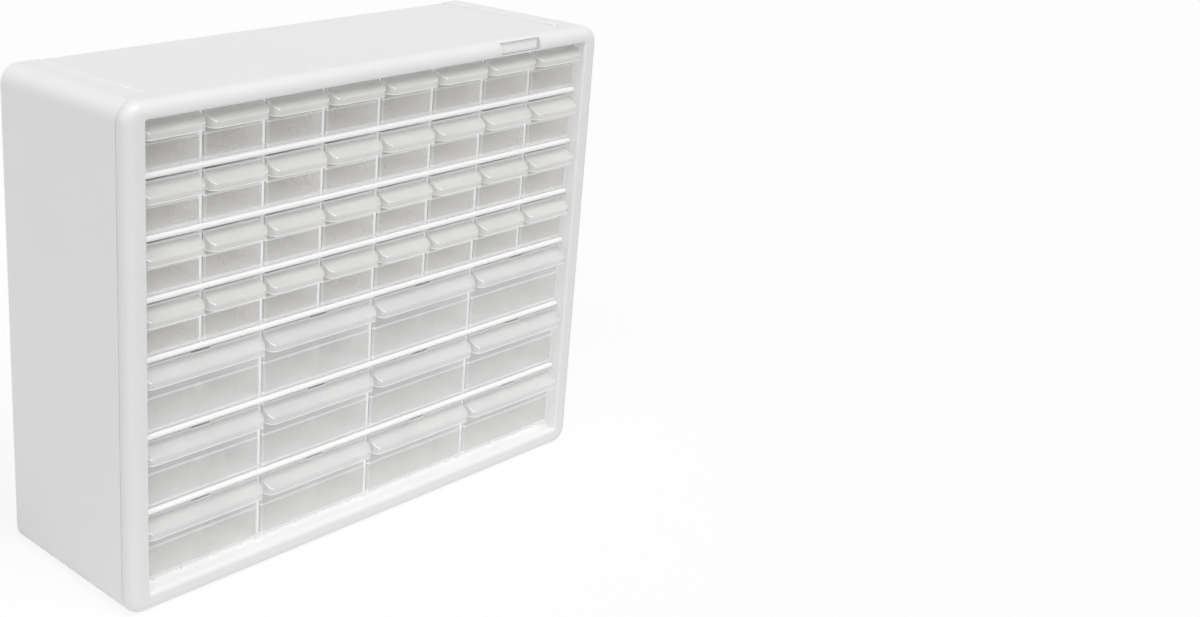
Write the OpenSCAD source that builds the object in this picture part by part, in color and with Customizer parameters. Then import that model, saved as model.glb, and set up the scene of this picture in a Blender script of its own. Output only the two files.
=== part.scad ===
// Bench-top parts bin cabinet: a moulded carcass with 32 small and 12 large clear drawers.
// Millimetres. X runs across the cabinet, Y from front to back, Z up.
// The origin is the centre of the rectangle that the cabinet stands on.

/* [Small drawers] */
// Width of a small drawer
small_drawer_w = 55.3; // [45:0.1:70]
// Height of a small drawer's box
small_drawer_h = 39.2; // [33:0.1:55]
// Height of a small drawer's finger pull, from its foot to the drawer's lip
small_hood_h = 14.6; // [13:0.1:18]
// Width of the stop tab on a small drawer's back wall
small_tab_w = 14; // [8:1:30]

/* [Large drawers] */
// Height of a large drawer's box
large_drawer_h = 54.3; // [42:0.1:80]
// Height of a large drawer's finger pull, from its foot to the drawer's lip
large_hood_h = 15.6; // [13:0.1:20]
// Width of the stop tab on a large drawer's back wall
large_tab_w = 30; // [12:1:60]
// Width of the label notch in a large drawer's top lip
notch_w = 18.6; // [10:0.2:40]
// Depth of the label notch
notch_d = 2; // [1:0.1:3]
// Clear width of the divider slot inside a large drawer
slot_w = 1.8; // [1.4:0.1:3]
// How far the slot's ribs stand into the drawer
slot_rib_d = 3; // [2:0.1:5]
// Thickness of one slot rib
slot_rib_t = 0.9; // [0.8:0.1:1.6]

/* [All drawers] */
// Length of a drawer's box from its front wall to its back wall
drawer_l = 122; // [80:1:200]
// Wall and floor thickness of the drawers
drawer_t = 1.4; // [1:0.1:2.4]
// Depth of the stop tabs from front to back
tab_d = 3.5; // [2:0.1:6]
// Radius of a drawer's upright corners
drawer_corner_r = 2; // [1.5:0.1:4]
// How far the lower half of the front stands proud
front_step = 0.7; // [0.4:0.1:1.2]
// How far the hooded finger pull stands out from the front wall
hood_reach = 10.9; // [8:0.1:10.9]
// Height of the pull's upright skirt
hood_skirt = 5; // [3:0.1:7]
// Height of the plain lip above the pull's slope
hood_lip = 3; // [2.4:0.1:5]
// Thickness of the pull
hood_t = 1.3; // [1:0.1:2]
// Radius of the bend between the pull's skirt and its slope
hood_bend_r = 3.2; // [2.4:0.1:5]
// Radius of the pull's two ends, seen from above
hood_end_r = 7; // [4:0.1:10]

/* [Drawer clearances] */
// Gap at each side of a drawer
side_gap = 0.5; // [0.3:0.05:1.2]
// Gap between a drawer and the runners below it
seat_gap = 0.3; // [0.2:0.05:0.8]
// Gap between a drawer's lip and the bead above it, which lets it be lifted out
lift_gap = 2.5; // [2:0.1:6]
// Gap between a closed drawer and the back panel
back_gap = 0.3; // [0.2:0.05:1]
// Gap between a stop tab and the shelf above it
tab_gap = 0.5; // [0.3:0.05:0.5]

/* [Shelves and dividers] */
// Diameter of the round bead along a shelf's front edge
bead_d = 4.6; // [4.2:0.1:5.8]
// Distance of the beads' centre line behind the cabinet's front
bead_setback = 10; // [8:0.1:10.6]
// Clearance at each end of a bead
bead_end_gap = 0.3; // [0.2:0.05:1]
// Thickness of the shelf plates
shelf_t = 2.2; // [1.6:0.1:2.6]
// Thickness of the upright dividers
divider_t = 3; // [2:0.1:5]
// Distance of the dividers' front edges behind the cabinet's front
divider_setback = 13; // [12.5:0.1:16]
// Width of a runner rib
runner_w = 1.6; // [1.2:0.1:3]
// Spacing of the two runners under a small drawer
runner_spacing = 27; // [16:0.5:38]
// Height of the runners on the base deck
deck_runner_h = 3.6; // [3:0.1:8]
// Side of the square cleats that carry the shelves' ends
cleat = 1.5; // [1:0.1:2]

/* [Front frame] */
// Width of the frame's face at each side of the drawers
frame_side = 18.3; // [16:0.1:26]
// Height of the ledge below the bottom drawers
ledge_h = 17; // [14:0.1:30]
// Height of the cabinet above the top drawers' lift gap
head_h = 12.5; // [11.5:0.1:20]
// How far the frame hangs below the top bay's ceiling line
brow_drop = 1.3; // [0:0.1:1.5]
// Depth of the frame's outer skirt, up to the seam
frame_depth = 11; // [10.5:0.1:12.9]
// Width of the seam between the frame and the shell
seam_w = 0.6; // [0.3:0.1:1]
// Radius of the frame's outer front edges
frame_r = 10; // [6:0.1:10]
// Radius of the frame's inner front edges, at the sides and the top
frame_inner_r = 2; // [1:0.1:3]
// Radius of the opening's corners
opening_r = 1.5; // [1.2:0.1:2]
// Radius of the ledge's front edge
ledge_r = 4; // [2:0.1:5]
// Wall thickness of the frame, the liners and the deck
frame_t = 2.6; // [2:0.1:2.8]

/* [Outer shell] */
// Wall thickness of the shell
shell_t = 2.6; // [2:0.1:3]
// Radius of the cabinet's four long edges
shell_r = 15; // [12:0.5:15.5]
// Slip clearance between parts that fit inside the shell
slip = 0.25; // [0.15:0.05:0.4]
// Depth of the recessed panel in the top
recess_d = 0.7; // [0.4:0.1:1]
// Distance of the recessed panel's front edge behind the cabinet's front
recess_setback = 18.5; // [15:0.5:40]
// Radius of the recessed panel's front corners
recess_r = 6; // [4:0.5:12]
// Distance from the cabinet's side to the middle of a stacking ridge
ridge_inset = 32.5; // [24:0.5:60]
// Width of a stacking ridge
ridge_w = 3; // [2:0.1:5]
// Height of a stacking ridge above the top
ridge_h = 0.6; // [0.4:0.1:1]
// Clearance of the stacking grooves in the base around the ridges
groove_gap = 0.5; // [0.3:0.1:1]

/* [Back] */
// Thickness of the back panel
back_t = 2.5; // [2:0.1:4]
// Depth of the well behind the back panel
rear_well = 23; // [16:0.5:40]
// Distance from the cabinet's side to each wall screw
hanger_inset = 50.8; // [40:0.2:120]
// Distance from the cabinet's top to the wall screws' entry holes
hanger_below = 70; // [56:1:120]
// Diameter of the hole that takes a wall screw's head
screw_head_d = 9.6; // [8:0.1:12]
// Width of the slot that takes a wall screw's shank
screw_shank_w = 4.8; // [4:0.1:6]
// Distance that the cabinet drops onto its wall screws
hanger_drop = 11; // [9:0.5:14]
// Width and height of the two hanger bosses
hanger_boss = 38; // [34:1:44]
// Thickness of the back panel's stiffening ribs
back_rib_t = 2; // [1.6:0.1:3]
// Depth of the back panel's stiffening ribs
back_rib_d = 5; // [4:0.5:14]

/* [Badge] */
// Width of the blank badge plate
badge_w = 48; // [30:1:60]
// Height of the blank badge plate
badge_h = 8.9; // [6:0.1:8.9]
// Thickness of the badge plate
badge_t = 1; // [0.8:0.1:1.6]
// Distance of the badge's middle from the cabinet's centre line
badge_x = 151; // [-150:1:170]
// Clearance around the badge in its pocket
badge_gap = 0.5; // [0.3:0.1:1]
// Distance of the pocket's floor behind the cabinet's front
badge_floor = 4.2; // [3.8:0.1:4.4]
// Width of the badge's raised rim
badge_rim_w = 1; // [0.6:0.1:1.5]
// Height of the badge's raised rim
badge_rim_h = 0.4; // [0.2:0.1:0.6]
// Height of the pocket's lower edge above the frame's opening
badge_lift = 1; // [0.8:0.1:2]

/* [Hidden] */
$fn = 48;
e = 0.01;
small_cols = 8;
large_cols = 4;
small_rows = 4;
large_rows = 3;
shelf_count = small_rows + large_rows - 1;

// Widths: a large bay is two small bays and the divider that they do without
small_bay_w = small_drawer_w + 2 * side_gap;
large_bay_w = 2 * small_bay_w + divider_t;
large_drawer_w = large_bay_w - 2 * side_gap;
inner_w = small_cols * small_bay_w + (small_cols - 1) * divider_t;
cabinet_w = inner_w + 2 * frame_side;
small_pitch_x = small_bay_w + divider_t;
large_pitch_x = large_bay_w + divider_t;

// Heights: a row is a drawer, its two gaps and the bead above it
small_pitch_z = seat_gap + small_drawer_h + lift_gap + bead_d;
large_pitch_z = seat_gap + large_drawer_h + lift_gap + bead_d;
base_z = ledge_h + deck_runner_h;
bead_drop = bead_d / 2 - shelf_t / 2;
stack_top = seat_z(1) + seat_gap + small_drawer_h + lift_gap;
ceiling_z = stack_top + bead_drop;
brow_z = stack_top - brow_drop;
cabinet_h = stack_top + head_h;
top_z = cabinet_h - ridge_h;
tab_top = lift_gap + bead_drop - tab_gap;

// Depths, counted from the front plane
front_setback = hood_reach + 1.3;
liner_front = frame_depth;
web_front = front_setback + drawer_l + back_gap;
web_back = web_front + back_t;
cabinet_d = web_back + rear_well;
brow_depth = bead_setback + bead_d / 2;
shell_front = frame_depth + seam_w;
spigot_back = shell_front + 8;
spigot_t = 2;
hollow_front = 6.5;
ridge_back = 1;
boss_t = 2.5;
stand_off_t = 2;
hanger_spacing = cabinet_w - 2 * hanger_inset;
hanger_z = cabinet_h - hanger_below;
badge_z = brow_z + badge_lift + badge_gap;

// Rows are numbered from the top: 1 to 4 hold small drawers and 5 to 7 hold large ones.
// The level of the runners that carry a row's drawers
function seat_z(row) = base_z
    + min(small_rows + large_rows - row, large_rows) * large_pitch_z
    + max(small_rows - row, 0) * small_pitch_z;
// The middle of the bead and shelf below a row
function shelf_z(row) = seat_z(row) - bead_d / 2;
// The middle of a column
function column_x(col, cols, pitch) = (col - (cols + 1) / 2) * pitch;
// A distance behind the cabinet's front as a Y coordinate
function back(d) = d - cabinet_d / 2;

// A block between two distances behind the front and two heights
module block(x0, x1, d0, d1, z0, z1) {
    translate([x0, back(d0), z0]) cube([x1 - x0, d1 - d0, z1 - z0]);
}

// Draws a front-view outline through the cabinet from one distance behind the front to another
module through(d0, d1) {
    translate([0, back(d1), 0]) rotate([90, 0, 0]) linear_extrude(height = d1 - d0) children();
}

module round_rect(w, h, r) {
    square([w - 2 * r, h], center = true);
    square([w, h - 2 * r], center = true);
    for (x = [-1, 1], z = [-1, 1]) translate([x * (w / 2 - r), z * (h / 2 - r)]) circle(r = r);
}

// The cabinet's outline in front view, taken in from all sides
module outline(inset) {
    translate([0, top_z / 2]) round_rect(cabinet_w - 2 * inset, top_z - 2 * inset, shell_r - inset);
}

// ---- Outer shell: one wrap of top, sides and base, with stacking ridges and grooves
module outer_shell() {
    ridge_x = cabinet_w / 2 - ridge_inset;
    color("#e9e9ea") difference() {
        union() {
            difference() {
                through(shell_front, cabinet_d) outline(0);
                through(shell_front - e, cabinet_d + e) outline(shell_t);
                recess(ridge_x);
            }
            for (side = [-1, 1]) stacking_ridge(side * ridge_x);
        }
        for (side = [-1, 1]) block(
            side * ridge_x - ridge_w / 2 - groove_gap, side * ridge_x + ridge_w / 2 + groove_gap,
            recess_setback + recess_r - groove_gap, cabinet_d + e, -e, ridge_h + groove_gap
        );
    }
}

// The sunk panel in the top, open at the rear and with round front corners
module recess(half) {
    r = recess_r;
    translate([0, 0, top_z - recess_d]) linear_extrude(height = recess_d + 1) {
        translate([-half, back(recess_setback + r)]) square([2 * half, cabinet_d]);
        translate([-half + r, back(recess_setback)]) square([2 * half - 2 * r, cabinet_d]);
        for (side = [-1, 1]) translate([side * (half - r), back(recess_setback + r)]) circle(r = r);
    }
}

// A round-topped ridge with round ends, half sunk into the top along the edge of the recess
module stacking_ridge(x) {
    r = ridge_w / 2;
    start = recess_setback + recess_r;
    length = cabinet_d - start - ridge_back - ridge_w;
    intersection() {
        translate([x, back(start + r), cabinet_h - r]) {
            for (end = [0, length]) translate([0, end, 0]) sphere(r = r);
            translate([0, length, 0]) rotate([90, 0, 0]) cylinder(r = r, h = length);
        }
        block(x - r, x + r, start, cabinet_d, top_z - recess_d - e, cabinet_h);
    }
}

// ---- Front frame: a hollow surround with round edges and a spigot that plugs into the shell
module front_frame() {
    half = inner_w / 2;
    spigot = shell_t + slip;
    color("#f4f4f4") difference() {
        union() {
            frame_form();
            difference() {
                through(frame_depth - 2, spigot_back) outline(spigot);
                through(frame_depth - 2 - e, spigot_back + e) outline(spigot + spigot_t);
            }
            // The brow's inner lip, which stops the top drawers and carries the ceiling
            block(-half, half, frame_depth - e, brow_depth, brow_z, ceiling_z);
        }
        // The drawers' opening
        through(-1, spigot_back + 1) translate([0, (ledge_h + brow_z) / 2])
            round_rect(inner_w, brow_z - ledge_h, opening_r);
        opening_edges(half);
        // The hollow behind the face
        difference() {
            through(hollow_front, spigot_back + 1) outline(spigot + spigot_t);
            block(-half - frame_t, half + frame_t, 0, frame_depth, ledge_h - frame_t, brow_z + frame_t);
            block(-half, half, 0, brow_depth, brow_z, ceiling_z);
        }
        // The badge's pocket
        block(
            badge_x - badge_w / 2 - badge_gap, badge_x + badge_w / 2 + badge_gap, -1, badge_floor,
            badge_z - badge_gap, badge_z + badge_h + badge_gap
        );
    }
}

// The frame's outer form: a flat face with a round edge all the way round
module frame_form() {
    x = cabinet_w / 2 - shell_r;
    translate([0, 0, shell_r]) linear_extrude(height = top_z - 2 * shell_r) edge_profile(cabinet_w);
    translate([x, 0, top_z / 2]) rotate([0, -90, 0]) linear_extrude(height = 2 * x) edge_profile(top_z);
    for (side = [-1, 1], z = [shell_r, top_z - shell_r])
        translate([side * x, 0, z]) rotate([90, 0, 0]) rotate_extrude() corner_profile();
}

// A section through the frame, with both of its front corners round
module edge_profile(w) {
    r = frame_r;
    translate([-w / 2, back(r)]) square([w, frame_depth - r]);
    intersection() {
        union() {
            translate([-w / 2 + r, back(0)]) square([w - 2 * r, frame_depth]);
            for (side = [-1, 1]) translate([side * (w / 2 - r), back(r)]) circle(r = r);
        }
        translate([-w / 2, back(0)]) square([w, frame_depth]);
    }
}

// The same edge, as it is turned about the middle of a corner
module corner_profile() {
    r = frame_r;
    rear = -back(frame_depth);
    translate([0, rear]) square([shell_r, frame_depth - r]);
    translate([0, rear]) square([shell_r - r, frame_depth]);
    intersection() {
        translate([shell_r - r, -back(r)]) circle(r = r);
        translate([0, rear]) square([shell_r, frame_depth]);
    }
}

// What is taken off the opening's front edges to round them
module opening_edges(half) {
    r = frame_inner_r;
    c = opening_r;
    for (side = [0, 1]) mirror([side, 0, 0]) {
        translate([half, back(0), ledge_h + c]) linear_extrude(height = brow_z - ledge_h - 2 * c)
            edge_cut(r);
        for (z = [ledge_h + c, brow_z - c]) translate([half - c, back(0), z]) rotate([-90, 0, 0])
            rotate_extrude() translate([c, 0]) edge_cut(r);
    }
    width = 2 * (half - c);
    translate([-width / 2, back(0), brow_z]) rotate([90, 0, 90])
        linear_extrude(height = width) edge_cut(r);
    translate([-width / 2, back(0), ledge_h]) mirror([0, 0, 1]) rotate([90, 0, 90])
        linear_extrude(height = width) edge_cut(ledge_r);
}

// What rounds a square edge at the origin, where the solid fills the quarter of +X and +Y
module edge_cut(r) {
    difference() {
        translate([-1, -1]) square([r + 1, r + 1]);
        translate([r, r]) circle(r = r);
    }
}

// ---- Badge: a blank plate with a raised rim, in a pocket in the frame's brow
module badge_plate() {
    x0 = badge_x - badge_w / 2;
    x1 = badge_x + badge_w / 2;
    front = badge_floor - badge_t;
    color("#ededee") difference() {
        block(x0, x1, front, badge_floor, badge_z, badge_z + badge_h);
        block(
            x0 + badge_rim_w, x1 - badge_rim_w, front - 1, front + badge_rim_h,
            badge_z + badge_rim_w, badge_z + badge_h - badge_rim_w
        );
    }
}

// ---- Liners: the inner box of ceiling, sides and deck that the shelves and drawers run in
// The side liners carry the shelves on cleats and stand off the shell on ribs.
module side_liner() {
    x = inner_w / 2;
    shell_x = cabinet_w / 2 - shell_t - slip;
    block(x, x + frame_t, liner_front, web_front, ledge_h - frame_t, ceiling_z + frame_t);
    for (row = [1:shelf_count]) block(
        x - cleat, x + e, divider_setback + 2, web_front,
        shelf_z(row) - shelf_t / 2 - cleat, shelf_z(row) - shelf_t / 2
    );
    for (z = [60, top_z / 2, top_z - 60]) block(
        x + frame_t - e, shell_x, spigot_back + 1, web_front, z - stand_off_t / 2, z + stand_off_t / 2
    );
}

module right_liner() { color("#e2e2e3") side_liner(); }

module left_liner() { color("#e2e2e3") mirror([1, 0, 0]) side_liner(); }

module top_liner() {
    half = inner_w / 2;
    color("#e2e2e3") {
        block(-half, half, liner_front, web_front, ceiling_z, ceiling_z + frame_t);
        for (x = [-1, 0, 1]) block(
            x * large_pitch_x - stand_off_t / 2, x * large_pitch_x + stand_off_t / 2,
            spigot_back + 1, web_front, ceiling_z + frame_t - e, top_z - shell_t - slip
        );
    }
}

// The deck that the bottom drawers run on, standing on webs inside the shell
module base_deck() {
    half = inner_w / 2;
    color("#f0f0f0") {
        block(-half, half, liner_front, web_front, ledge_h - frame_t, ledge_h);
        runners(ledge_h, deck_runner_h);
        for (x = [-1.5, -0.5, 0.5, 1.5]) block(
            x * large_pitch_x - stand_off_t / 2, x * large_pitch_x + stand_off_t / 2,
            spigot_back + 1, web_front, shell_t, ledge_h - frame_t + e
        );
    }
}

// Two runner ribs under every small drawer's width
module runners(z, h) {
    for (col = [1:small_cols], side = [-1, 1]) {
        x = column_x(col, small_cols, small_pitch_x) + side * runner_spacing / 2;
        block(x - runner_w / 2, x + runner_w / 2, divider_setback + 1, web_front - 2, z - e, z + h);
    }
}

// ---- Shelves: a plate with a round bead along its front and runner ribs on top
module shelf(row) {
    half = inner_w / 2;
    bead_half = half - bead_end_gap;
    r = bead_d / 2;
    z = shelf_z(row);
    z0 = z - shelf_t / 2;
    color("#f2f2f2") {
        block(r - bead_half, bead_half - r, bead_setback, divider_setback + e, z0, z0 + shelf_t);
        block(-half, half, divider_setback, web_front, z0, z0 + shelf_t);
        runners(z + shelf_t / 2, bead_drop);
        translate([0, back(bead_setback), z]) rotate([0, 90, 0]) rotate_extrude() intersection() {
            union() {
                translate([0, r - bead_half]) square([r, 2 * (bead_half - r)]);
                for (side = [-1, 1]) translate([0, side * (bead_half - r)]) circle(r = r);
            }
            translate([0, -bead_half]) square([r, 2 * bead_half]);
        }
    }
}

// ---- Dividers: upright walls with round front edges, standing on one shelf and under the next
module dividers(rows, cols, pitch) {
    r = divider_t / 2;
    for (row = rows, k = [1:cols - 1]) {
        x = (k - cols / 2) * pitch;
        z0 = row == small_rows + large_rows ? ledge_h : shelf_z(row) + shelf_t / 2;
        z1 = row == 1 ? ceiling_z : shelf_z(row - 1) - shelf_t / 2;
        block(x - r, x + r, divider_setback + r, web_front, z0, z1);
        translate([x, back(divider_setback + r), z0]) cylinder(r = r, h = z1 - z0);
    }
}

module small_bay_dividers() { color("#ececec") dividers([1:small_rows], small_cols, small_pitch_x); }

module large_bay_dividers() {
    color("#ececec") dividers([small_rows + 1:small_rows + large_rows], large_cols, large_pitch_x);
}

// ---- Back panel: closes the box behind the drawers and carries two wall hangers
module back_panel() {
    color("#dedee0") difference() {
        union() {
            through(web_front, web_back) outline(shell_t + slip);
            for (side = [-1, 1]) hanger_boss(side * hanger_spacing / 2);
            back_ribs();
        }
        for (side = [-1, 1]) hanger_cuts(side * hanger_spacing / 2);
    }
}

module hanger_boss(x) {
    block(
        x - hanger_boss / 2, x + hanger_boss / 2, web_back - e, cabinet_d,
        hanger_z + hanger_drop / 2 - hanger_boss / 2, hanger_z + hanger_drop / 2 + hanger_boss / 2
    );
}

// The hollow of a boss and the keyhole in its rear wall
module hanger_cuts(x) {
    wall = boss_t;
    z0 = hanger_z + hanger_drop / 2 - hanger_boss / 2;
    block(
        x - hanger_boss / 2 + wall, x + hanger_boss / 2 - wall, web_back, cabinet_d - wall,
        z0 + wall, z0 + hanger_boss - wall
    );
    translate([x, back(cabinet_d + e), hanger_z]) rotate([90, 0, 0])
        cylinder(d = screw_head_d, h = wall + 2 * e);
    translate([x, back(cabinet_d + e), hanger_z + hanger_drop]) rotate([90, 0, 0])
        cylinder(d = screw_shank_w, h = wall + 2 * e);
    block(
        x - screw_shank_w / 2, x + screw_shank_w / 2, cabinet_d - wall - e, cabinet_d + e,
        hanger_z, hanger_z + hanger_drop
    );
}

// Stiffening ribs: a rim, two uprights and two rails
module back_ribs() {
    t = back_rib_t;
    inset = shell_t + slip;
    difference() {
        through(web_back - e, web_back + back_rib_d) outline(inset);
        through(web_back - 1, web_back + back_rib_d + 1) outline(inset + t);
    }
    reach = cabinet_w / 2 - inset - t / 2;
    for (z = [top_z / 4, top_z / 2])
        block(-reach, reach, web_back - e, web_back + back_rib_d, z - t / 2, z + t / 2);
    for (side = [-1, 1]) {
        x = side * large_pitch_x / 2;
        block(x - t / 2, x + t / 2, web_back - e, web_back + back_rib_d, inset + t / 2, top_z - inset - t / 2);
    }
}

// ---- Drawers: clear boxes, open at the top, with a hooded finger pull across the front
// A drawer is drawn about its own middle, with its floor at z = 0.
module drawer(w, h, hood_h, tab_w) {
    rear = front_setback + drawer_l;
    inner_r = drawer_corner_r - drawer_t / 2;
    difference() {
        union() {
            upright(w, front_setback, rear, drawer_corner_r, h);
            // The lower half of the front stands proud of the upper half
            upright(w, front_setback - front_step, rear - 1, drawer_corner_r, h / 2);
            intersection() {
                hood(w, h, hood_h, 0);
                block(-w, w, 0, front_setback + drawer_corner_r, h - hood_h, h);
            }
        }
        translate([0, 0, drawer_t])
            upright(w - 2 * drawer_t, front_setback + drawer_t, rear - drawer_t, inner_r, h);
        intersection() {
            hood(w, h, hood_h, hood_t);
            block(-w, w, 0, front_setback, h - hood_h - 1, h);
        }
    }
    // The tab that meets the bead above when the drawer is pulled out
    block(-tab_w / 2, tab_w / 2, rear - tab_d, rear, h - drawer_t, h + tab_top);
}

// An upright block with round corners, between two distances behind the cabinet's front
module upright(w, front, rear, r, h) {
    translate([0, back((front + rear) / 2), 0]) linear_extrude(height = h) round_rect(w, rear - front, r);
}

// The solid form of the pull, taken in by a skin thickness: a plan with round ends, cut to a slope
module hood(w, h, hood_h, inset) {
    front = front_setback - hood_reach;
    end_r = hood_end_r - inset;
    half = w / 2 - inset;
    foot = h - hood_h;
    difference() {
        translate([0, back(front), foot - 2]) linear_extrude(height = hood_h + 3) {
            translate([-half, hood_end_r]) square([2 * half, hood_h]);
            translate([end_r - half, inset]) square([2 * (half - end_r), hood_h]);
            for (side = [-1, 1]) translate([side * (half - end_r), hood_end_r]) circle(r = end_r);
        }
        translate([-w, back(front), foot]) rotate([90, 0, 90]) linear_extrude(height = 2 * w)
            hood_cut(hood_h, inset);
    }
}

// What is taken off above the pull, from the side: over an upright skirt, a bend and a slope
module hood_cut(hood_h, inset) {
    slope = atan((hood_h - hood_lip - hood_skirt) / hood_reach);
    bend_z = hood_skirt - hood_bend_r * tan((90 - slope) / 2);
    r = hood_bend_r - inset;
    start = [hood_bend_r - r * sin(slope), bend_z + r * cos(slope)];
    end = start + 2 * hood_reach * [cos(slope), sin(slope)];
    difference() {
        polygon([[-1, bend_z], [hood_bend_r, bend_z], start, end, [end[0], 2 * hood_h], [-1, 2 * hood_h]]);
        translate([hood_bend_r, bend_z]) circle(r = r);
    }
}

// Two pairs of ribs on the front and back walls that hold a loose cross divider
module slot_ribs(h) {
    front = front_setback + drawer_t - e;
    rear = front_setback + drawer_l - drawer_t + e;
    for (side = [-1, 1], start = [front, rear - slot_rib_d]) {
        x = side * (slot_w + slot_rib_t) / 2;
        block(x - slot_rib_t / 2, x + slot_rib_t / 2, start, start + slot_rib_d, drawer_t - e, h / 2);
    }
}

module small_drawer(row, col) {
    translate([column_x(col, small_cols, small_pitch_x), 0, seat_z(row) + seat_gap])
        color("#cfd2d4", 0.6) drawer(small_drawer_w, small_drawer_h, small_hood_h, small_tab_w);
}

module large_drawer(row, col) {
    h = large_drawer_h;
    translate([column_x(col, large_cols, large_pitch_x), 0, seat_z(row + small_rows) + seat_gap])
        color("#d6d8da", 0.6) difference() {
            union() {
                drawer(large_drawer_w, h, large_hood_h, large_tab_w);
                slot_ribs(h);
            }
            // The label notch in the front lip
            block(-notch_w / 2, notch_w / 2, 0, front_setback + drawer_t + 1, h - notch_d, h + 1);
        }
}

outer_shell();
front_frame();
back_panel();
base_deck();
top_liner();
left_liner();
right_liner();
small_bay_dividers();
large_bay_dividers();
badge_plate();
for (i = [1:shelf_count])
    shelf(i);
for (r = [1:small_rows], c = [1:small_cols])
    small_drawer(r, c);
for (r = [1:large_rows], c = [1:large_cols])
    large_drawer(r, c);
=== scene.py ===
from math import pi, radians

import bpy
import numpy as np
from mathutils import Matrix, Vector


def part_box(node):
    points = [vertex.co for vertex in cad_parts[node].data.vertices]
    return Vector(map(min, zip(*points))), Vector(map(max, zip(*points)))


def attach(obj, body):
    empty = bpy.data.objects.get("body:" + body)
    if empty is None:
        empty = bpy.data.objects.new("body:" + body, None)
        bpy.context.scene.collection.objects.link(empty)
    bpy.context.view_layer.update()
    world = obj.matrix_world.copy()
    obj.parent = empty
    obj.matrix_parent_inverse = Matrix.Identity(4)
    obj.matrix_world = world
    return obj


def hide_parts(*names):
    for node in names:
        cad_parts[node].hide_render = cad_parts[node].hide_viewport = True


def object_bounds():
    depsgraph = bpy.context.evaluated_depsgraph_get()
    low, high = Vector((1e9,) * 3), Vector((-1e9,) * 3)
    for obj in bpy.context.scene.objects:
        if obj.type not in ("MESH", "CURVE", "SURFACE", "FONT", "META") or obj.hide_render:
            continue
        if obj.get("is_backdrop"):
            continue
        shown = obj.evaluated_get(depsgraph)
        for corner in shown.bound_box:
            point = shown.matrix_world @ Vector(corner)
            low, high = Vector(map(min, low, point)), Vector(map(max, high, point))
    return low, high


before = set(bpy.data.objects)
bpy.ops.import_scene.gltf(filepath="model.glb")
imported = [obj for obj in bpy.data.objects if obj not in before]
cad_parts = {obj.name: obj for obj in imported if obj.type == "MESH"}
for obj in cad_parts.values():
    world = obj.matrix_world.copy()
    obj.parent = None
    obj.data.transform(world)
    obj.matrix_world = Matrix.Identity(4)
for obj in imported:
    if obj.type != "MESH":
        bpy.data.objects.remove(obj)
cad_low, cad_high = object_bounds()

# ---- Camera: a long lens, to the left of the cabinet and a little above it.
# The lens is shifted, so that the cabinet stands in the left half of the picture.
camera = bpy.data.objects.new("camera", bpy.data.cameras.new("camera"))
bpy.context.scene.collection.objects.link(camera)
camera.location = (-0.86318, -0.94534, 0.65536)
camera.rotation_euler = [radians(angle) for angle in (71.34989, -1.31385, -41.26122)]
camera.data.sensor_width = 36
camera.data.lens = 47.929
camera.data.shift_x = 0.25
camera.data.shift_y = -0.0501
camera.data.clip_end = 200
bpy.context.scene.camera = camera
bpy.context.scene.view_settings.view_transform = "Standard"


# ---- Studio: a white floor that takes the cabinet's shadow, under an even white sky.
# Two wide lamps, one overhead and one to the left, leave the top brightest and no shadow hard.
class Wire:
    """A shader socket that takes Python's signs: each sign adds its Math node."""

    def __init__(self, finish, socket):
        self.finish, self.socket = finish, socket

    def maths(self, operation, first, second):
        return self.finish.add("Math", {"operation": operation}, {0: first, 1: second})

    def __add__(self, other):
        return self.maths("ADD", self, other)

    def __sub__(self, other):
        return self.maths("SUBTRACT", self, other)

    def __mul__(self, other):
        return self.maths("MULTIPLY", self, other)

    def __pow__(self, other):
        return self.maths("POWER", self, other)

    __radd__ = __add__


class Finish:
    """The node tree of a material or a sky, which add() fills one node at a time."""

    def __init__(self, owner):
        owner.use_nodes = True
        self.tree = owner.node_tree
        self.tree.nodes.clear()

    def add(self, kind, settings=(), sockets=(), output=0):
        """Makes a node of a type, sets its settings, then its sockets, and returns its wire."""
        node = self.tree.nodes.new("ShaderNode" + kind)
        for name, value in dict(settings).items():
            setattr(node, name, value)
        for name, value in dict(sockets).items():
            if isinstance(value, Wire):
                self.tree.links.new(value.socket, node.inputs[name])
            else:
                node.inputs[name].default_value = value
        return Wire(self, node.outputs[output]) if node.outputs else node

    def blend(self, mask, first, second):
        """A colour that goes from the first to the second as the mask goes from 0 to 1."""
        pair = [(*c, 1) if isinstance(c, tuple) else c for c in (first, second)]
        return self.add("Mix", {"data_type": "RGBA"}, {0: mask, 6: pair[0], 7: pair[1]}, 2)


sky = bpy.data.worlds.new("studio")
bpy.context.scene.world = sky
light = Finish(sky)
seen = light.add("LightPath", output="Is Camera Ray")
for kind in ("Is Glossy Ray", "Is Transmission Ray"):
    seen = seen.maths("MAXIMUM", seen, light.add("LightPath", output=kind))
light.add("OutputWorld", (), {"Surface": light.add("MixShader", (), {
    0: seen,
    1: light.add("Background", (), {"Color": (0.2, 0.2, 0.202, 1)}),
    2: light.add("Background", (), {"Color": (1, 1, 1, 1)}),
})})

lamp_spread = radians(50)
for name, strength, tilt, turn in (("overhead", 2.1, 26, 3), ("left", 0.8, 62, -65)):
    lamp = bpy.data.objects.new(name, bpy.data.lights.new(name, "SUN"))
    bpy.context.scene.collection.objects.link(lamp)
    lamp.data.energy = strength
    lamp.data.angle = lamp_spread
    lamp.rotation_euler = (radians(tilt), 0, radians(turn))
bpy.context.scene.cycles.transparent_max_bounces = 32
bpy.context.scene.cycles.diffuse_bounces = 12
bpy.context.scene.cycles.max_bounces = 16

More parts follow.
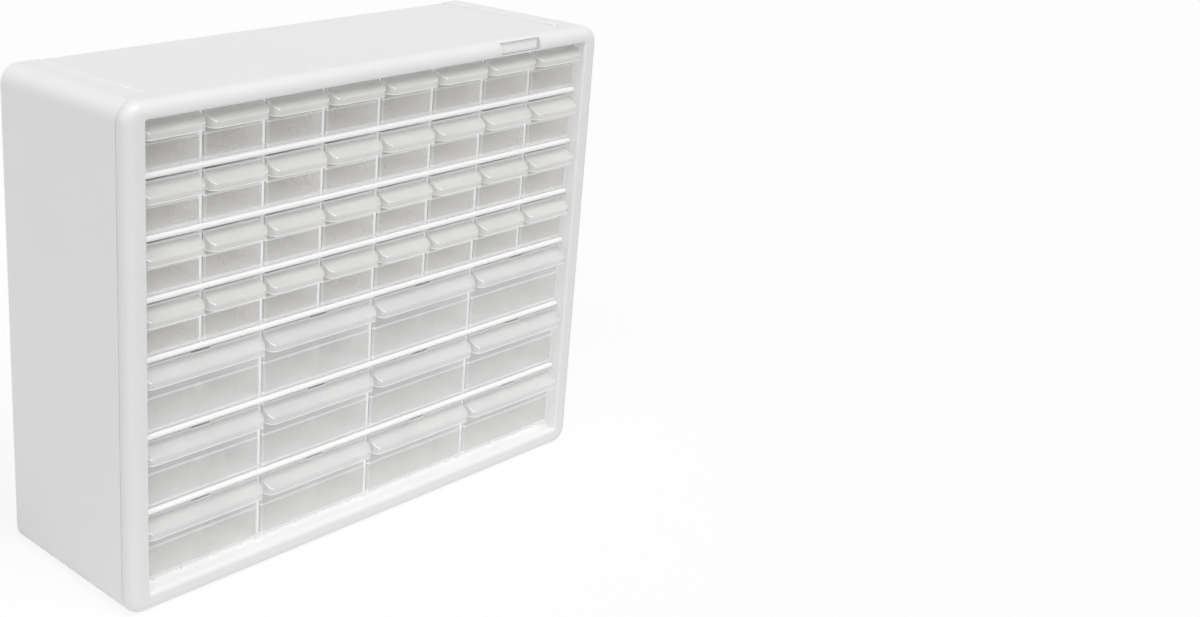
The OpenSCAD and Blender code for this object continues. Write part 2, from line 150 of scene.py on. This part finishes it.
floor_half = 9
ground = bpy.data.meshes.new("floor")
ground.from_pydata([(x * floor_half, y * floor_half, 0) for x, y in ((-1, -1), (1, -1), (1, 1), (-1, 1))],
                   [], [(0, 1, 2, 3)])
floor = bpy.data.objects.new("floor", ground)
bpy.context.scene.collection.objects.link(floor)
paper = bpy.data.materials.new("white paper")
finish = Finish(paper)
fibre = finish.add("TexNoise", (), {
    "Vector": finish.add("TexCoord", output="Object"), "Scale": 400, "Detail": 3})
finish.add("OutputMaterial", (), {"Surface": finish.add("MixShader", (), {
    0: finish.add("LightPath", output="Is Camera Ray") * 0.85,
    1: finish.add("BsdfDiffuse", (), {
        "Color": finish.blend(fibre, (0.955, 0.955, 0.955), (0.975, 0.975, 0.975))}),
    2: finish.add("Emission", (), {"Color": (1, 1, 1, 1)}),
})})
ground.materials.append(paper)
floor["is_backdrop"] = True


# ---- Outer shell: one wrap of top, sides and base, moulded in white polystyrene.
# Its top has a sunk panel between two stacking ridges, and its base has grooves for another's ridges.
def white_polystyrene(name, dark, light, roughness, grain=0.25):
    """White moulded plastic: its colour drifts by a hundredth, with a fine grain and faint scuffs.
    A piece's edge attribute greys it, as painted shade and painted light that each piece sets; where it is 0
    the colour is left as it is."""
    material = bpy.data.materials.new(name)
    finish = Finish(material)
    place = finish.add("TexCoord", output="Object")
    drift = finish.add("TexNoise", (), {"Vector": place, "Scale": 7, "Detail": 2})
    scuffs = finish.add("TexNoise", (), {"Vector": place, "Scale": 70, "Detail": 6, "Roughness": 0.7})
    pores = finish.add("TexNoise", (), {"Vector": place, "Scale": 1400, "Detail": 2})
    grey_and_painted_light = finish.add("Attribute", {"attribute_name": "edge"}, output="Fac")
    clean = finish.blend(drift * 0.7 + scuffs * 0.3, dark, light)
    finish.add("OutputMaterial", (), {"Surface": finish.add("BsdfPrincipled", (), {
        "Base Color": finish.blend(grey_and_painted_light, clean, (0.4, 0.4, 0.4)),
        "Roughness": roughness + (scuffs - 0.5) * 0.2,
        "IOR": 1.57,
        "Normal": finish.add("Bump", (), {"Strength": grain, "Distance": 0.00006, "Height": pores}),
    })})
    return material


def ring(half, low, high, r, bottom=(), sides=(), top=(), turns=8):
    """Rectangles with round corners, one per row of the sizes, which may be columns.
    A corner is r times cosine and sine about its centre, and the stations lie on the straights."""
    sizes = [np.asarray(v, float).reshape(-1, 1) for v in (half, low, high, r)]
    half, low, high, r = np.broadcast_arrays(*sizes)
    turn = np.linspace(0, pi / 2, turns + 1)[None]
    flat = [np.ones_like(half) * np.sort(v)[None] for v in (bottom, sides, top)]

    def corner(x, z, start):
        return x + r * np.cos(start + turn), z + r * np.sin(start + turn)

    parts = [
        corner(r - half, low + r, pi), (flat[0], low + 0 * flat[0]),
        corner(half - r, low + r, 3 * pi / 2), (half + 0 * flat[1], flat[1]),
        corner(half - r, high - r, 0), (flat[2][:, ::-1], high + 0 * flat[2]),
        corner(r - half, high - r, pi / 2), (-half + 0 * flat[1], flat[1][:, ::-1]),
    ]
    return [np.concatenate([part[axis] for part in parts], 1) for axis in (0, 1)]


def grid_faces(rings, closed=False):
    """Joins each ring of points to the next, then the last to the first or each end to a cap."""
    index = np.arange(rings[..., 0].size).reshape(rings.shape[:2])
    walk = np.vstack([index, index[:1]]) if closed else index
    near, far = walk[:-1], walk[1:]
    faces = np.stack([near, np.roll(near, -1, 1), np.roll(far, -1, 1), far], -1).reshape(-1, 4).tolist()
    return faces if closed else faces + [index[0, ::-1].tolist(), index[-1].tolist()]


def outward(points, faces):
    """Turns a closed surface's faces outwards: the sum of their corner volumes becomes positive."""
    fans = np.array([(f[0], b, c) for f in faces for b, c in zip(f[1:], f[2:])])
    a, b, c = (points[fans[:, k]] for k in range(3))
    if np.sum(a * np.cross(b, c)) < 0:
        faces = [f[::-1] for f in faces]
    return points, faces


def loft(rings, closed=False):
    """The surface over rings of points, with its faces outwards."""
    return outward(rings.reshape(-1, 3), grid_faces(rings, closed))


# Faces that meet at more than this angle keep a hard edge between them
sharp_from = radians(33)


def make(name, parts, material, nodes, body):
    """Puts surfaces of points (x, depth, z) in millimetres into one piece that stands for CAD nodes.
    Depth runs back from the cabinet's front. A third item per surface is its points' edge weights, the
    painted light and shade that the materials read."""
    points = np.concatenate([part[0] for part in parts])
    starts = np.cumsum([0] + [len(part[0]) for part in parts])
    faces = [[v + int(s) for v in f] for part, s in zip(parts, starts) for f in part[1]]
    mesh = bpy.data.meshes.new(name)
    mesh.from_pydata(points / 1000 + (0, cad_low[1], 0), [], faces)
    mesh.materials.append(material)
    if all(len(part) > 2 for part in parts):
        edges = mesh.attributes.new("edge", "FLOAT", "POINT")
        edges.data.foreach_set("value", np.concatenate([part[2] for part in parts]))
    mesh.shade_smooth()
    mesh.set_sharp_from_angle(angle=sharp_from)
    piece = bpy.data.objects.new(name, mesh)
    bpy.context.scene.collection.objects.link(piece)
    piece.modifiers.new("level faces", "WEIGHTED_NORMAL").keep_sharp = True
    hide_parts(*nodes)
    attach(piece, body)
    return piece


def columns(profile):
    """The parts of a profile's rows, such as inset and depth, as columns that ring() takes by the row."""
    return np.array(profile, float).T[..., None]


width, length, top_z, shell_r, shell_t = 508, 160, 399.4, 15, 2.6
ridge_x, ridge_r, ridge_z, ridge_front, ridge_rear = 221.5, 1.5, 398.5, 26, 157.5
recess_front, recess_r, recess_d, recess_slope = 18.5, 6, 0.7, 0.5
groove_half, groove_d, groove_front = 2, 1.1, 24
# Stations across the sides, top and base, close beside each ridge and groove
side_stations = (120, 200, 280)
near_ridge = np.concatenate([np.arange(-7, -2.2, 0.6), np.arange(-2.2, 2.3, 0.2)])
stations_top = np.concatenate([-ridge_x - near_ridge, [-100, 0, 100], ridge_x + near_ridge])
stations_low = [s * ridge_x + d for s in (-1, 1) for d in (-2.1, -1.9, 1.9, 2.1)]
# Depths from front to back, close where the panel, the ridges and the grooves begin and end
rows = np.concatenate([
    [12.2, 16], np.arange(18, 19.1, 0.2), np.arange(19.5, 23.6, 0.5), [23.9, 24.1],
    np.arange(24.4, 27, 0.3), [60, 95, 130, 156.5], np.arange(157, 159.4, 0.3)])
outside = [(0.45, 11.6), (0.13, 11.73), (0, 12.05)] + [(0, d) for d in rows] + [
    (0, length - 0.45), (0.13, length - 0.13), (0.45, length)]
inside = [(shell_t - 0.3, length), (shell_t, length - 0.3), (shell_t, 90), (shell_t, 11.9),
          (shell_t - 0.3, 11.6)]
inset, depth = columns(outside + inside)
x, z = ring(width / 2 - inset, inset, top_z - inset, shell_r - inset,
            stations_low, side_stations, stations_top, 10)
depth = depth + 0 * x
skin = np.arange(len(x))[:, None] < len(outside)  # True on the rows of the outer face
# The sunk panel is a rectangle with round front corners, as a distance that is less than 0 inside
over = np.stack([abs(x) - ridge_x + recess_r, recess_front + recess_r - depth])
edge = np.hypot(*np.maximum(over, 0)) - recess_r + np.minimum(over.max(0), 0)
panel = np.clip(0.5 - edge / recess_slope, 0, 1)
roof = z - recess_d * panel * panel * (3 - 2 * panel)
# A ridge is half of a bar with round ends, by its distance from the bar's middle line
beside = np.hypot(abs(x) - ridge_x, np.maximum(0, np.maximum(ridge_front - depth, depth - ridge_rear)))
ridge = ridge_z + np.sqrt(np.maximum(ridge_r ** 2 - beside ** 2, 0))
roof = np.where(beside < ridge_r - 0.01, np.maximum(roof, ridge), roof)
z = np.where(skin & (z > top_z - 1) & (abs(x) < width / 2 - shell_r), roof, z)
groove = (abs(abs(x) - ridge_x) < groove_half) & (depth > groove_front) & (z < 1) & skin
z = np.where(groove, z + groove_d, z)
# The ridges and the round top corners carry a painted highlight: they are left whiter than the flats, which
# are greyed a little.
painted_highlight = np.exp(-(beside / ridge_r) ** 2) * (z > top_z - 2)
outer, upper = (np.clip(v / shell_r + 1, 0, 1) for v in (abs(x) - width / 2, z - top_z))
grey_and_painted_light = 0.19 * (1 - np.minimum(1, painted_highlight + 1.3 * outer * upper))
shell_white = white_polystyrene("white shell", (0.885, 0.885, 0.895), (0.925, 0.925, 0.933), 0.38)
make("shell_wrap", [(*loft(np.stack([x, depth, z], -1), True), grey_and_painted_light.ravel())], shell_white,
     ["outer_shell"], "cabinet")


# ---- Front frame: a hollow surround with round edges and a blind pocket for a badge.
# It is moulded in the same white and plugs into the shell, which leaves a dark seam between the two.
frame_depth, outer_r, inner_r, ledge_r = 11, 10, 2, 4
opening_half, opening_low, opening_high, opening_r = 235.7, 17, 386.2, 1.5
brow_depth, liner_wall, hollow, spigot, spigot_t, spigot_back = 12.3, 2.6, 6.5, 2.85, 2, 19.6
pocket_x, pocket_low, pocket_high, pocket_floor = (126.5, 175.5), 387.2, 397.1, 4.2
# The pocket's upper edge lies on the outer round and its lower edge on the inner round
upper_turn = np.arccos(1 - (top_z - pocket_high) / outer_r)
lower_turn = np.arcsin(1 - (pocket_low - opening_high) / inner_r)
arc = np.sort(np.append(np.linspace(0, pi / 2, 13), upper_turn))
arc_in = np.sort(np.append(np.linspace(0, pi / 2, 9), lower_turn))
over_edge = [(outer_r * (1 - np.cos(a)), outer_r * (1 - np.sin(a))) for a in arc]
# The face: from the seam with the shell forward, and over the outer round
inset, face_depth = columns([(0.35, frame_depth), (0, frame_depth - 0.3)] + over_edge)
face_x, face_z = ring(width / 2 - inset, inset, top_z - inset, shell_r - inset,
                      (), side_stations, pocket_x, 12)
# The mouth: over a round that is larger on the ledge below, back along the opening, then the hollow
out, out_low = (np.append(r * (1 - np.sin(arc_in)), [0, 0, liner_wall, liner_wall])[:, None]
                for r in (inner_r, ledge_r))
mouth_x, mouth_z = ring(opening_half + out, opening_low - out_low, opening_high + out, opening_r + out,
                        (), side_stations, pocket_x, 12)
ledge = np.clip((opening_low - out_low + opening_r + out - mouth_z) / (opening_r + out), 0, 1)
brow = np.clip((mouth_z - opening_high + opening_r) / (opening_r + out), 0, 1)
sink = np.append(1 - np.cos(arc_in), [0, 0, 0, 0])[:, None]
mouth_depth = sink * (inner_r + (ledge_r - inner_r) * ledge)
mouth_depth[-4:] = np.array([[frame_depth - 1], [frame_depth], [frame_depth], [hollow]])
mouth_depth[-3:-1] += (brow_depth - frame_depth) * brow[-3:-1]
# The plug: from the hollow back along the inside of the spigot and forward along its outside
inset, plug_depth = columns([
    (spigot + spigot_t, hollow), (spigot + spigot_t, spigot_back), (spigot + 0.4, spigot_back),
    (spigot, spigot_back - 0.4), (spigot, frame_depth)])
plug_x, plug_z = ring(width / 2 - inset, inset, top_z - inset, shell_r - inset,
                      (), side_stations, pocket_x, 12)
rings = np.concatenate([
    np.stack([face_x, face_depth + 0 * face_x, face_z], -1),
    np.stack([mouth_x, mouth_depth, mouth_z], -1),
    np.stack([plug_x, plug_depth + 0 * plug_x, plug_z], -1)])
# Painted shade greys the outer faces, and less of it along the top edge leaves a painted highlight there;
# the walls inside the opening are kept white as painted light.
painted_front_shade = np.concatenate([np.ones(len(face_x)), 1 - sink[:-4, 0], np.zeros(4 + len(plug_x))])
upper = np.clip((rings[..., 2] - top_z) / outer_r + 1, 0, 1)
grey_and_painted_light = (0.09 + 0.25 * painted_front_shade[:, None]) * (1 - 0.4 * upper)
# The pocket: its patch of the face is dropped to the pocket's floor, and walls are put round it
first = 2 + np.argmin(abs(arc - upper_turn))
last = len(face_x) + np.argmin(abs(arc_in - lower_turn))
column = np.argmin(np.where(face_z[0] > top_z / 2, abs(face_x[0] - pocket_x[1]), width))
patch = np.arange(first, last + 1)[:, None] * rings.shape[1] + np.array([column, column + 1])
sunk = rings.size // 3 + np.arange(patch.size).reshape(patch.shape)
points = rings.reshape(-1, 3)
points = np.concatenate([points, points[patch.ravel()] * (1, 0, 1) + (0, pocket_floor, 0)])
cells, floor_cells = (
    np.stack([v[:-1, 0], v[:-1, 1], v[1:, 1], v[1:, 0]], -1).tolist() for v in (patch, sunk))
rim, base = (np.concatenate([v[0], v[1:, 1], v[-1:, 0], v[-2:0:-1, 0]]) for v in (patch, sunk))
walls = np.stack([rim, np.roll(rim, -1), np.roll(base, -1), base], -1).tolist()
faces = [face for face in grid_faces(rings, True) if face not in cells] + floor_cells + walls
points, faces = outward(points, faces)
# The pocket's floor is painted half grey, as shade in the gap round the badge.
grey_and_painted_light = np.concatenate([grey_and_painted_light.ravel(), np.full(patch.size, 0.5)])
frame_white = white_polystyrene("white frame", (0.9, 0.9, 0.901), (0.935, 0.935, 0.936), 0.42, 0.2)
make("frame_surround", [(points, faces, grey_and_painted_light)], frame_white, ["front_frame"], "cabinet")


# ---- Badge: a blank plate with a raised rim, moulded in a slightly greyer white polystyrene.
# It is bonded into the frame's pocket, whose walls stand just clear of it.
badge_low, badge_high = (v * 1000 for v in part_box("badge_plate"))
middle = (badge_low[0] + badge_high[0]) / 2
# Inset, depth and grey from the back edge over the rim to the flat: painted shade darkens the back edge and
# the foot of each step.
inset, depth, grey_and_painted_light = columns([
    (0, 4.2, 1), (0, 3.4, 0.9), (0.06, 3.26, 0.6), (0.25, 3.2, 0), (0.8, 3.2, 0), (0.94, 3.26, 0.2),
    (1, 3.5, 0.8), (1.1, 3.6, 0.7), (1.5, 3.6, 0.1), (2.2, 3.6, 0)])
x, z = ring((badge_high[0] - badge_low[0]) / 2 - inset, badge_low[2] + inset, badge_high[2] - inset,
            np.maximum(1.3 - inset * 0.9, 0.2), turns=5)
badge_white = white_polystyrene("white badge", (0.81, 0.81, 0.812), (0.85, 0.85, 0.852), 0.3, 0.1)
make("badge_blank", [(*loft(np.stack([x + middle, depth + 0 * x, z], -1)), (grey_and_painted_light + 0 * x).ravel())],
     badge_white, ["badge_plate"], "cabinet")


# ---- Liners, deck and back panel: flat mouldings that close the box around the drawers.
# They are plain white polystyrene and fit inside the shell, so the CAD's solids serve as they stand.
liner_white = white_polystyrene("white liner", (0.92, 0.917, 0.91), (0.945, 0.942, 0.935), 0.42)
for name in ("left_liner", "right_liner", "top_liner", "base_deck", "back_panel"):
    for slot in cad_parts[name].material_slots:
        slot.material = liner_white


# ---- Shelves: each is a plate with a round bead along its front and runner ribs on top.
# They are glossy white mouldings that slide in from the front and rest on the liners' cleats.
def bars(boxes, chamfer=0.25):
    """Blocks with chamfered edges, from rows of x, depth and z limits: each is four rings of eight
    points, whose first and last are taken in by the chamfer. Their edge weight is 0.2 all over, a faint
    painted highlight in the clear drawers."""
    x0, x1, d0, d1, z0, z1 = np.array(boxes, float).T[:, :, None, None]
    take = np.array([chamfer, 0, 0, chamfer])[None, :, None]
    cut = chamfer - take / 2
    left, right, front, rear = x0 + take, x1 - take, d0 + take, d1 - take
    x = np.concatenate([left + cut, right - cut, right, right, right - cut, left + cut, left, left], 2)
    depth = np.concatenate([front, front, front + cut, rear - cut, rear, rear, rear - cut, front + cut], 2)
    z = np.concatenate([z0, z0 + chamfer, z1 - chamfer, z1], 1) + 0 * x
    return [(*loft(block), np.full(block[..., 0].size, 0.2)) for block in np.stack([x, depth, z], -1)]


bead_r, bead_half, bead_depth = 2.3, 235.4, 10
plate_front, plate_half, web_front, shelf_t = 13, 235.7, 134.5, 2.2
runner_w, runner_gap, runner_front, runner_rear, runner_root, small_pitch = 1.6, 27, 14, 132.5, 0.3, 59.3
small_x = (np.arange(8) - 3.5) * small_pitch
runner_x = (small_x[:, None] + np.array([-0.5, 0.5]) * runner_gap).ravel()
shelf_white = white_polystyrene("white shelf", (0.865, 0.865, 0.863), (0.89, 0.89, 0.888), 0.3, 0.1)
for number in range(1, 7):
    low, high = (v * 1000 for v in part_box(f"shelf_{number}"))
    z = (low[2] + high[2]) / 2
    # The bead is a half circle at each end and a straight between, turned about its middle line
    turn = np.linspace(0, pi / 2, 9)[1:]
    reach = bead_half - bead_r * (1 - np.cos(turn))
    along = np.concatenate([-reach, reach[::-1]])
    radius = bead_r * np.sin(np.concatenate([turn, turn[::-1]]))
    around = np.linspace(0, 2 * pi, 29)[:-1]
    bead = np.stack([along[:, None] + 0 * around, bead_depth + radius[:, None] * np.cos(around),
                     z + radius[:, None] * np.sin(around)], -1)
    bottom, top = z - shelf_t / 2, z + shelf_t / 2
    plate = [(bead_r - bead_half, bead_half - bead_r, bead_depth, plate_front + 1, bottom, top),
             (-plate_half, plate_half, plate_front, web_front, bottom, top)]
    ribs = [(v - runner_w / 2, v + runner_w / 2, runner_front, runner_rear, top - runner_root, high[2])
            for v in runner_x]
    make(f"shelf_moulding_{number}", [loft(bead)] + bars(plate) + bars(ribs), shelf_white,
         [f"shelf_{number}"], "cabinet")


# ---- Dividers: thin upright walls with round front edges, between one shelf and the next.
# They are white like the shelves and stand in the gaps between the drawers.
def upright_walls(xs, spans, front, rear, r):
    """Walls whose plan is a half circle at the front and two straight sides, from floor to ceiling."""
    turn = np.linspace(0, pi, 13)
    across = np.concatenate([-r * np.cos(turn), [r, -r]])
    back = np.concatenate([front + r - r * np.sin(turn), [rear, rear]])
    return [loft(np.stack([np.stack([x + across, back, 0 * back + z], -1) for z in span]))
            for x in xs for span in spans]


divider_r = 1.5
shelf_z = [sum(corner[2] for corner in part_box(f"shelf_{number}")) * 500 for number in range(1, 7)]
under, on = [z - shelf_t / 2 for z in shelf_z], [z + shelf_t / 2 for z in shelf_z]
small_spans = list(zip(on[:4], [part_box("top_liner")[0][2] * 1000] + under[:3]))
large_spans = list(zip(on[4:] + [opening_low], under[3:]))
for name, xs, spans in (
    ("small_bay_dividers", (np.arange(7) - 3) * small_pitch, small_spans),
    ("large_bay_dividers", (np.arange(3) - 1) * 2 * small_pitch, large_spans),
):
    make(name + "_walls", upright_walls(xs, spans, plate_front, web_front, divider_r), shelf_white,
         [name], "cabinet")


# ---- Drawers: clear polystyrene boxes, open at the top, with a hooded pull across the front.
# The front's lower half stands proud, a tab at the back stops the drawer, and large ones have a notch.
def clear_polystyrene(name, dark, light, body_alpha):
    """Clear plastic that has gone slightly milky: haze and slow swirls, denser at a glancing angle. Its edge
    attribute paints highlights: it whitens the plastic and makes it denser.
    """
    material = bpy.data.materials.new(name)
    finish = Finish(material)
    place = finish.add("TexCoord", output="Object")
    edge = finish.add("Attribute", {"attribute_name": "edge"}, output="Fac")
    swirl = finish.add("TexNoise", (), {"Vector": place, "Scale": 22, "Detail": 2, "Distortion": 0.6})
    haze = finish.add("TexNoise", (), {"Vector": place, "Scale": 260, "Detail": 4})
    facing = finish.add("LayerWeight", (), {"Blend": 0.5}, "Facing")
    finish.add("OutputMaterial", (), {"Surface": finish.add("BsdfPrincipled", (), {
        "Base Color": finish.blend(edge, finish.blend(swirl, dark, light), (0.95, 0.965, 0.985)),
        "Roughness": 0.12 + haze * 0.08,
        "IOR": 1.59,
        "Alpha": body_alpha + facing ** 2 * 0.4 + edge * 0.45 + (swirl - 0.5) * 0.08 + (haze - 0.5) * 0.04,
        "Normal": finish.add("Bump", (), {"Strength": 0.1, "Distance": 0.00005, "Height": swirl}),
    })})
    return material


def smooth_max(a, b, reach):
    """The larger of two arrays, rounded where they cross, by the root of their difference squared."""
    return (a + b + np.sqrt((a - b) ** 2 + reach ** 2)) / 2


front_depth, drawer_l, wall, corner_r, step = 12.2, 122, 1.4, 2, 0.7
hood_front, hood_rear, hood_reach, hood_t, skirt, lip_h = 1.3, 13.1, 10.9, 1.3, 5, 3
bend_r, end_r, side_d = 3.2, 7, 5
crease_w, notch_half, notch_d, notch_edge = 0.5, 9.3, 1.2, 0.06


def tub(w, h, notch):
    """A box with round upright corners: rings of inset, height and edge weight, from the base up the
    outside, over the lip and down the inside. The edge weight paints highlights along the lip, the base,
    the front's step and the upright corners. The front is nearer below half height, and the lip is lower
    along a notch."""
    lip, half_z = 0.3, h / 2
    outer = [(0.5, 0, 0.3), (0.15, 0.15, 0.6), (0, 0.5, 0.6), (0, 2, 0.4), (0, 3.4, 0),
             (0, half_z - 1.1, 0), (0, half_z - 0.35, 0.45), (0, half_z + 0.35, 0.45), (0, half_z + 1.1, 0),
             (0, h - 2.9, 0), (0, h - lip, 0.9), (0.09, h - 0.09, 0.9), (lip, h, 0.9)]
    inner = [(wall - lip, h, 0.9), (wall - 0.09, h - 0.09, 0.9), (wall, h - lip, 0.9), (wall, h - 2.9, 0),
             (wall, wall + 2, 0), (wall, wall + 0.8, 0.3), (wall + 0.25, wall + 0.25, 0.5),
             (wall + 0.8, wall, 0.2)]
    inset, z, edge = columns(outer + inner)
    proud = step * ((z < half_z) & (np.arange(len(z))[:, None] < len(outer)))
    stations = [s * (notch_half + d) for s in (-1, 1) for d in (-notch_edge, notch_edge)] if notch else []
    x, depth = ring(w / 2 - inset, front_depth - proud + inset, front_depth + drawer_l - inset,
                    np.maximum(corner_r - inset * 0.5, 0.6), stations, turns=5)
    # The upright corners take more of the painted highlight
    edge = np.minimum(edge + 0.25 * (abs(x) > w / 2 - corner_r), 1)
    z = z - notch_d * ((abs(x) < notch_half) & (depth < 20) & (z > h - 1) & notch)
    return *loft(np.stack([x, depth, z], -1)), edge.ravel()


def hood(w, h, hood_h, hood_painted_light):
    """The pull's skin. In plan it is a straight with round ends, and from the side an upright skirt,
    a bend and a slope: its depth is the larger of the two, each taken in by the skin's thickness.
    The edge weight is a painted highlight, highest along the foot and the creases; elsewhere it whitens the
    whole skin as painted light."""
    slope = np.arctan((hood_h - lip_h - skirt) / hood_reach)
    bend_z = skirt - bend_r * np.tan((pi / 2 - slope) / 2)

    def slope_start(bend):
        """Depth and height where a bend of that radius runs into the slope."""
        return bend_r - bend * np.sin(slope), bend_z + bend * np.cos(slope)

    def heights(inset):
        """The rows of one face of the skin: down the slope, then round the bend."""
        start, start_z = slope_start(bend_r - inset)
        top = start_z + (hood_rear - hood_front - start) * np.tan(slope)
        turned = np.linspace(pi / 2 - slope, 0, 13)
        return np.concatenate([np.linspace(top, start_z, 15), bend_z + (bend_r - inset) * np.sin(turned)])

    # The foot's inset and height, round from the outer face to the inner one
    foot = np.array([(0, 0.9), (0, 0.35), (0.1, 0.1), (0.35, 0),
                     (0.95, 0), (1.2, 0.1), (hood_t, 0.35), (hood_t, 0.9)])
    outer, inner = heights(0), heights(hood_t)[::-1]
    up = np.concatenate([outer, foot[:, 1], inner])[:, None]
    skins = np.concatenate([0 * outer, foot[:, 0], 0 * inner + hood_t])[:, None]
    bend = bend_r - skins
    start, start_z = slope_start(bend)
    # Across: a station back along the side, the round end, the middle, and the same again mirrored
    end = np.append(-pi / 2, np.linspace(-pi / 2, 0, 21))
    turns = np.concatenate([end, [0], -end[::-1]])
    centre = np.repeat([end_r - w / 2, 0, w / 2 - end_r], [len(end), 1, len(end)])
    push = np.zeros(len(turns))
    push[[0, -1]] = side_d
    rise = np.clip(up - bend_z, 0, bend)
    curve = np.where(up > start_z, start + (up - start_z) / np.tan(slope),
                     bend_r - np.sqrt(bend ** 2 - rise ** 2))
    x = centre + (end_r - skins) * np.sin(turns)
    plan = hood_front + end_r - (end_r - skins) * np.cos(turns) + push
    depth = np.minimum(smooth_max(plan, hood_front + curve, crease_w), hood_rear)
    # Painted highlights along the creases and the foot; the rest of the skin takes the hood's painted light.
    painted_crease_highlight = np.exp(-((plan - hood_front - curve) / crease_w) ** 2) * (abs(turns) > 0.4)
    edge = np.maximum(np.where(up < 0.5, 0.8, hood_painted_light), painted_crease_highlight)
    points = np.stack([x, depth, h - hood_h + up + 0 * x], -1)
    return *loft(points.transpose(1, 0, 2)), edge.T.ravel()


# One clear plastic in two tones: the small drawers of the upper rows are set darker than the large ones
# below, as painted shade and light by row.
small_clear = clear_polystyrene("clear small", (0.6, 0.588, 0.565), (0.67, 0.658, 0.635), 0.34)
large_clear = clear_polystyrene("clear large", (0.635, 0.632, 0.62), (0.705, 0.702, 0.69), 0.34)
tab_d, tab_rise, rib_gap, rib_t, rib_d, rib_root = 3.5, 3.2, 1.8, 0.9, 3, 0.1
# A drawer's hood height, the painted light that whitens its hood, and the half width of its tab
large_pull, small_pull = (15.6, 0.17, 15), (14.6, 0.26, 7)
for name in sorted(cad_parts):
    if "drawer" not in name:
        continue
    large = name.startswith("large")
    low, high = (v * 1000 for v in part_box(name))
    w, h = high[0] - low[0], high[2] - low[2] - tab_rise
    hood_h, hood_painted_light, tab = large_pull if large else small_pull
    rear = front_depth + drawer_l
    fittings = [(-tab, tab, rear - tab_d, rear, h - wall, h + tab_rise)]
    if large:
        # Two pairs of ribs that hold a loose divider, on the inside of the front and of the back
        for start in (front_depth + wall - rib_root, rear - wall - rib_d + rib_root):
            for side in (-1, 1):
                v = side * (rib_gap + rib_t) / 2
                fittings.append((v - rib_t / 2, v + rib_t / 2, start, start + rib_d, wall - rib_root, h / 2))
    parts = [tub(w, h, large), hood(w, h, hood_h, hood_painted_light)] + bars(fittings, 0.2)
    place = ((low[0] + high[0]) / 2, 0, low[2])
    piece = make(name + "_moulding", [(points + place, *rest) for points, *rest in parts],
                 large_clear if large else small_clear, [name], name)
    # Clear plastic hardly dims what lies behind it, so the light that fills the cabinet passes it
    piece.visible_diffuse = piece.visible_shadow = False


low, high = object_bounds()
